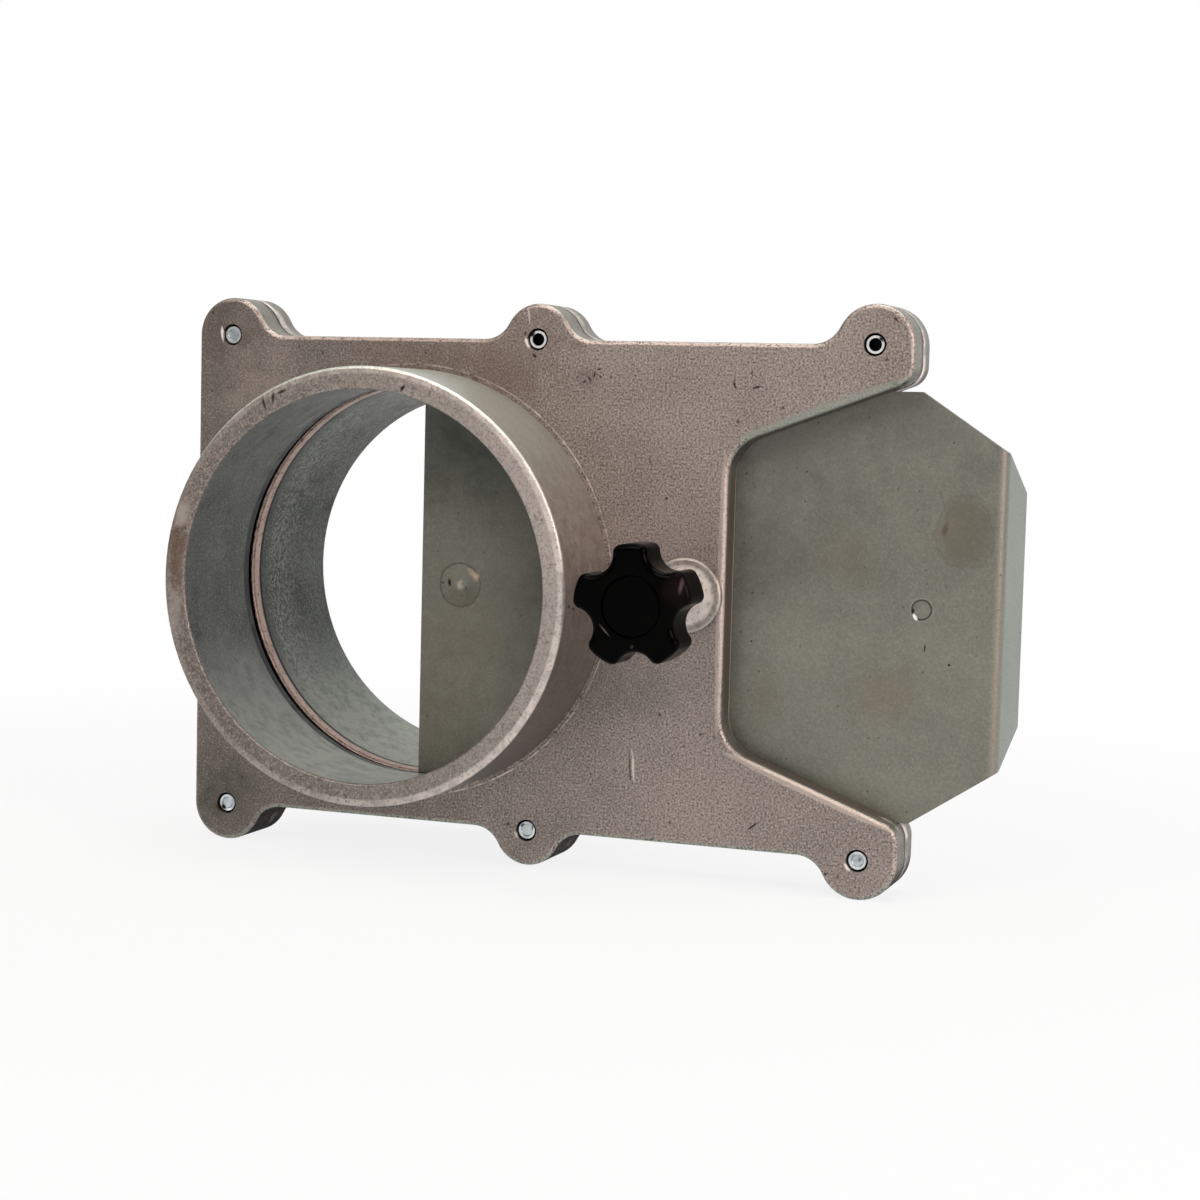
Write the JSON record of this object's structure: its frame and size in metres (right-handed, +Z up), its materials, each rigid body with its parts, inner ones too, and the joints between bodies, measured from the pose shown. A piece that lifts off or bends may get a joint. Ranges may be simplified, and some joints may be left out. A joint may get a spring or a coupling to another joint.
{
  "type": "blast gate",
  "caption": "Cast slide damper for a dust duct: two lugged halves with round spigots hold a sliding sheet blade, and a lobed knob on a stud clamps it.",
  "frame": {"origin": "on the bore axis, in the plane of the front casting's outer face, at the foot of the front spigot", "axes": "+X is the way the blade opens, +Y runs along the duct from the knob side to the back, +Z is up"},
  "size_m": [0.2022, 0.0827, 0.1346],
  "materials": {
    "cast_aluminium": "as cast, matt, with turned spigots",
    "galvanised_sheet": "galvanised, dull, lightly stained",
    "zinc_screw": "bright zinc plate",
    "knob_plastic": "black, moulded, slightly glossy"
  },
  "bodies": {
    "case": {"front_casting": "cast_aluminium", "rear_casting": "cast_aluminium", "case_screws": "zinc_screw"},
    "blade": {"gate_blade": "galvanised_sheet"},
    "stud": {"clamp_stud": "zinc_screw"},
    "knob": {"clamp_knob": "knob_plastic", "knob_cap": "knob_plastic"}
  },
  "joints": [
    {"name": "gate_slide", "type": "slide", "parent": "case", "child": "blade", "axis": [1, 0, 0], "range_m": [-0.0537, 0.0599]},
    {"name": "stud_feed", "type": "slide", "parent": "case", "child": "stud", "axis": [0, 1, 0], "range_m": [-0.002, 0.0005]},
    {"name": "knob_turn", "type": "hinge", "parent": "stud", "child": "knob", "pos_m": [0.07, -0.033, 0], "axis": [0, 1, 0], "range_deg": [-720, 180]}
  ],
  "couplings": [
    {"joint": "knob_turn", "follows": "stud_feed", "rad_per_m": 6283}
  ]
}
